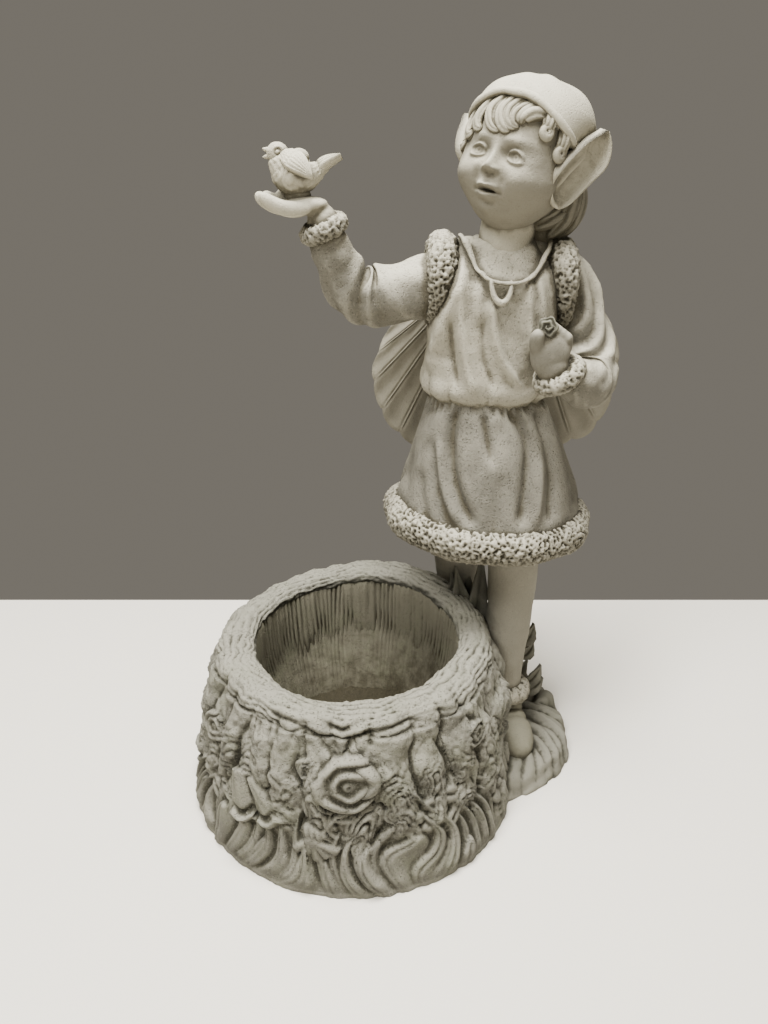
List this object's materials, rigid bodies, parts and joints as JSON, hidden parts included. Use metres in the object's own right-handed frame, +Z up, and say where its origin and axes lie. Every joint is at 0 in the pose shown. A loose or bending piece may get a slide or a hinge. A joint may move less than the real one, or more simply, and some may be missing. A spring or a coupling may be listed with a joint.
{
  "type": "pixie garden statue with stump planter",
  "caption": "Cast-stone garden statue of a pixie child with a bird on a raised hand, standing beside a hollow tree-stump planter.",
  "frame": {"origin": "on the ground under the middle of the base, on the flat underside", "axes": "+Z up along the figure's height, front of the statue faces -Y, the figure stands on the +X side of the stump"},
  "size_m": [0.4143, 0.3218, 0.6198],
  "materials": {
    "cast_stone": "matt weathered cast stone"
  },
  "bodies": {
    "root": {"pixie_statue": "cast_stone"}
  },
  "joints": []
}
